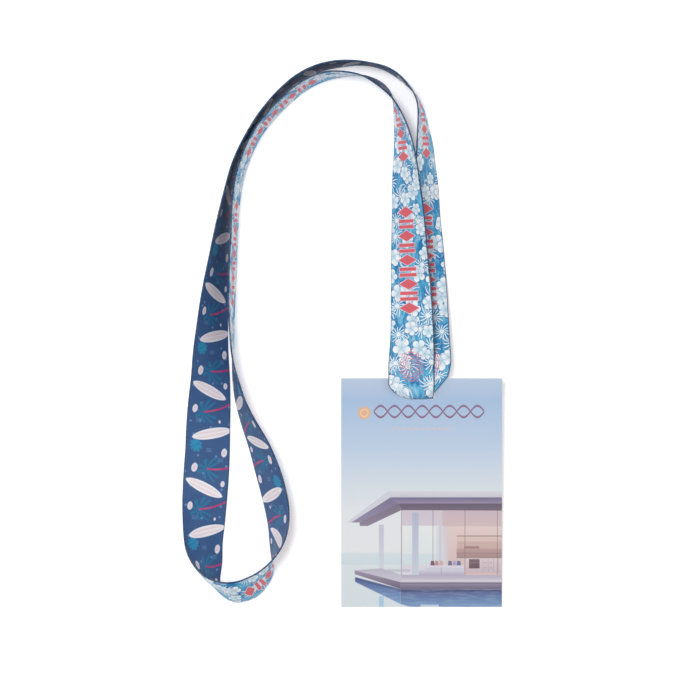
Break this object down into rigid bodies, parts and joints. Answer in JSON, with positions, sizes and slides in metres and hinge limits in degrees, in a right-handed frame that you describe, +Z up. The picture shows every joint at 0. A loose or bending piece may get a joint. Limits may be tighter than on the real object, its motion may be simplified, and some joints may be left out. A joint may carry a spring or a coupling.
{
  "type": "neck lanyard",
  "caption": "Printed ribbon lanyard laid in a long loop with a teardrop lobe, a slotted card on its joined ends and a swivel snap hook behind the card.",
  "frame": {"origin": "middle of the footprint of the laid-out lanyard, on the table", "axes": "+X to the right, from the strap's lobe towards the card; +Y towards the top of the loop; +Z up from the table"},
  "size_m": [0.139, 0.2376, 0.0243],
  "materials": {
    "printed_ribbon": "woven polyester ribbon, printed on both faces",
    "thread": "polyester thread",
    "printed_card": "printed card with a satin laminate",
    "nickel": "nickel-plated zinc",
    "steel": "plain steel"
  },
  "bodies": {
    "ribbon": {"strap": "printed_ribbon", "bartack_upper": "thread", "bartack_under": "thread"},
    "card": {"card": "printed_card"},
    "eye": {"swivel_eye": "nickel"},
    "hook": {"hook_body": "nickel", "swivel_post": "nickel", "swivel_washer": "steel", "gate_pin": "steel"},
    "gate": {"gate": "nickel", "gate_spring": "steel"}
  },
  "joints": [
    {"name": "card_tilt", "type": "hinge", "parent": "ribbon", "child": "card", "pos_m": [0.03351, -0.02742, 0.01008], "axis": [-1, 0, 0], "range_deg": [0, 45]},
    {"name": "eye_swing", "type": "hinge", "parent": "ribbon", "child": "eye", "pos_m": [0.03351, -0.03762, 0.00218], "axis": [1, 0, 0], "range_deg": [0, 80]},
    {"name": "hook_swivel", "type": "hinge", "parent": "eye", "child": "hook", "pos_m": [0.03351, -0.04572, 0.00218], "axis": [0, 1, 0], "range_deg": [-20, 20]},
    {"name": "gate_lever", "type": "hinge", "parent": "hook", "child": "gate", "pos_m": [0.03686, -0.05112, 0.00218], "axis": [0, 0, -1], "range_deg": [0, 18], "stiffness_Nm_per_rad": 0.004, "springref_deg": -14.32}
  ]
}
